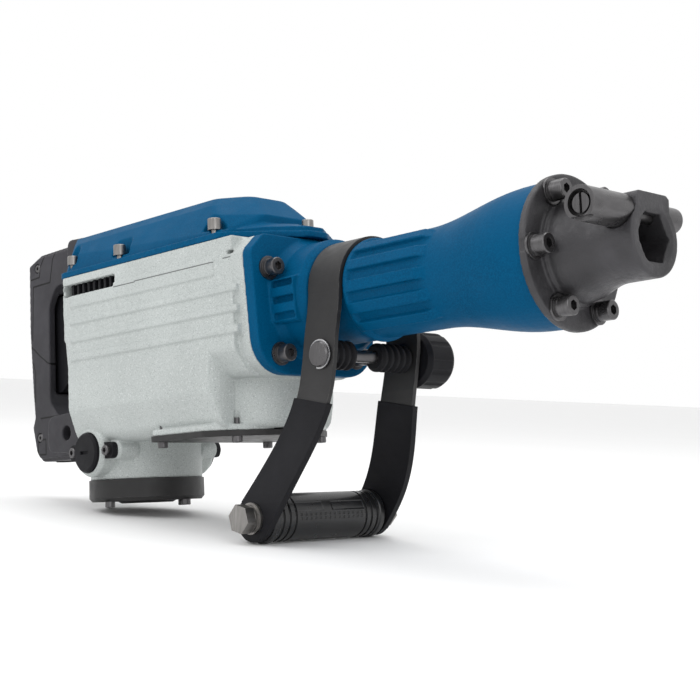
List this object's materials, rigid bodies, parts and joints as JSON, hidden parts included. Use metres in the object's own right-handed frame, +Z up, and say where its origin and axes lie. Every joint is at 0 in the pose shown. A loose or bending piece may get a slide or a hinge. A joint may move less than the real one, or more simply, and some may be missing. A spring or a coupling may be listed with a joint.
{
  "type": "electric demolition hammer",
  "caption": "Electric demolition hammer with a hexagon tool socket, swivelling side handle, rear D-handle, vertical motor and crank-driven striker.",
  "frame": {"origin": "on the floor under the middle of the machine, which leans on its tail cover screws and its side grip", "axes": "+X towards the nose in plan, +Z up, +Y to the machine's left; the barrel points 6.64 degrees up from +X"},
  "size_m": [0.689, 0.1545, 0.2645],
  "materials": {
    "blue_casting": "satin blue paint on cast aluminium",
    "grey_casting": "speckled light grey hammer paint on cast aluminium",
    "black_casting": "rough black cast steel",
    "black_metal": "satin black paint on steel",
    "black_plastic": "matte black moulded plastic",
    "grip_rubber": "soft black rubber",
    "black_steel": "blackened steel",
    "steel": "bright turned steel",
    "zinc_steel": "grey zinc-plated steel",
    "copper": "enamelled copper",
    "brass": "turned brass",
    "carbon": "pressed carbon"
  },
  "bodies": {
    "housing": {"crank_housing": "grey_casting", "top_cover": "blue_casting", "top_cover_screws": "zinc_steel", "bottom_plate": "black_metal", "bottom_plate_screws": "black_steel", "tail_cover": "black_metal", "tail_cover_screws": "black_steel", "brush_cap_left": "black_plastic", "brush_cap_right": "black_plastic", "brush_clips": "black_plastic", "brush_clip_screws": "black_steel", "brush_holders": "brass", "carbon_brushes": "carbon", "vent_inserts": "black_plastic", "cylinder_case": "blue_casting", "case_bolts": "black_steel", "cylinder_liner": "steel", "front_cover": "black_casting", "front_cover_bolts": "black_steel", "guide_bush": "brass", "front_buffer": "grip_rubber", "handle_shell_left": "black_plastic", "handle_shell_right": "black_plastic", "handle_cushion": "grip_rubber", "handle_screws": "zinc_steel", "switch_body": "black_plastic", "cord_inlet": "grip_rubber", "stator_core": "steel", "field_windings": "copper", "motor_bearings": "steel", "crank_bearing": "steel"},
    "armature": {"armature_shaft": "steel", "armature_core": "steel", "commutator": "copper", "cooling_fan": "black_plastic"},
    "intermediate": {"intermediate_gear": "steel"},
    "crank": {"crank_gear": "steel", "crankshaft": "steel"},
    "rod": {"connecting_rod": "steel", "wrist_pin": "steel"},
    "piston": {"piston": "steel", "piston_rings": "grip_rubber"},
    "striker": {"striker": "steel"},
    "impact_bolt": {"impact_bolt": "steel"},
    "trigger": {"trigger": "black_plastic"},
    "tool_lock": {"retaining_lever": "black_steel", "lever_spring_pin": "zinc_steel"},
    "side_handle": {"handle_strap": "black_metal", "arm_sleeve_left": "black_plastic", "arm_sleeve_right": "black_plastic", "side_grip": "grip_rubber", "grip_bolt": "zinc_steel", "grip_washers": "zinc_steel", "clamp_bolt": "black_steel", "clamp_bolt_clip": "steel", "bellows_left": "grip_rubber", "bellows_right": "grip_rubber"},
    "clamp_knob": {"clamp_knob": "black_plastic"}
  },
  "joints": [
    {"name": "side_handle_swivel", "type": "hinge", "parent": "housing", "child": "side_handle", "pos_m": [0.09294, 0, 0.18558], "axis": [0.9933, 0, 0.1156], "continuous": true},
    {"name": "clamp_knob_turn", "type": "hinge", "parent": "side_handle", "child": "clamp_knob", "pos_m": [0.09839, 0.06, 0.1387], "axis": [0, 1, 0], "continuous": true},
    {"name": "retaining_lever_turn", "type": "hinge", "parent": "housing", "child": "tool_lock", "pos_m": [0.32799, 0, 0.22904], "axis": [0, 1, 0], "range_deg": [0, 180]},
    {"name": "trigger_press", "type": "slide", "parent": "housing", "child": "trigger", "axis": [-0.9933, 0, -0.1156], "range_m": [0, 0.006], "stiffness_N_per_m": 1500, "springref_m": -0.006},
    {"name": "crankshaft_spin", "type": "hinge", "parent": "housing", "child": "crank", "pos_m": [-0.06003, 0, 0.16778], "axis": [-0.1156, 0, 0.9933], "continuous": true},
    {"name": "intermediate_gear_spin", "type": "hinge", "parent": "housing", "child": "intermediate", "pos_m": [-0.12559, 0, 0.16015], "axis": [-0.1156, 0, 0.9933], "continuous": true},
    {"name": "armature_spin", "type": "hinge", "parent": "housing", "child": "armature", "pos_m": [-0.17773, 0, 0.15408], "axis": [-0.1156, 0, 0.9933], "continuous": true},
    {"name": "connecting_rod_swing", "type": "hinge", "parent": "crank", "child": "rod", "pos_m": [-0.07294, 0, 0.16628], "axis": [-0.1156, 0, 0.9933], "continuous": true},
    {"name": "piston_slide", "type": "slide", "parent": "housing", "child": "piston", "axis": [0.9933, 0, 0.1156], "range_m": [0, 0.026]},
    {"name": "striker_slide", "type": "slide", "parent": "housing", "child": "striker", "axis": [0.9933, 0, 0.1156], "range_m": [0, 0.024]},
    {"name": "impact_bolt_slide", "type": "slide", "parent": "housing", "child": "impact_bolt", "axis": [0.9933, 0, 0.1156], "range_m": [0, 0.012]}
  ],
  "couplings": [
    {"joint": "intermediate_gear_spin", "follows": "crankshaft_spin", "ratio": -3.7143},
    {"joint": "armature_spin", "follows": "crankshaft_spin", "ratio": 22.286},
    {"joint": "connecting_rod_swing", "follows": "crankshaft_spin", "ratio": -1}
  ]
}
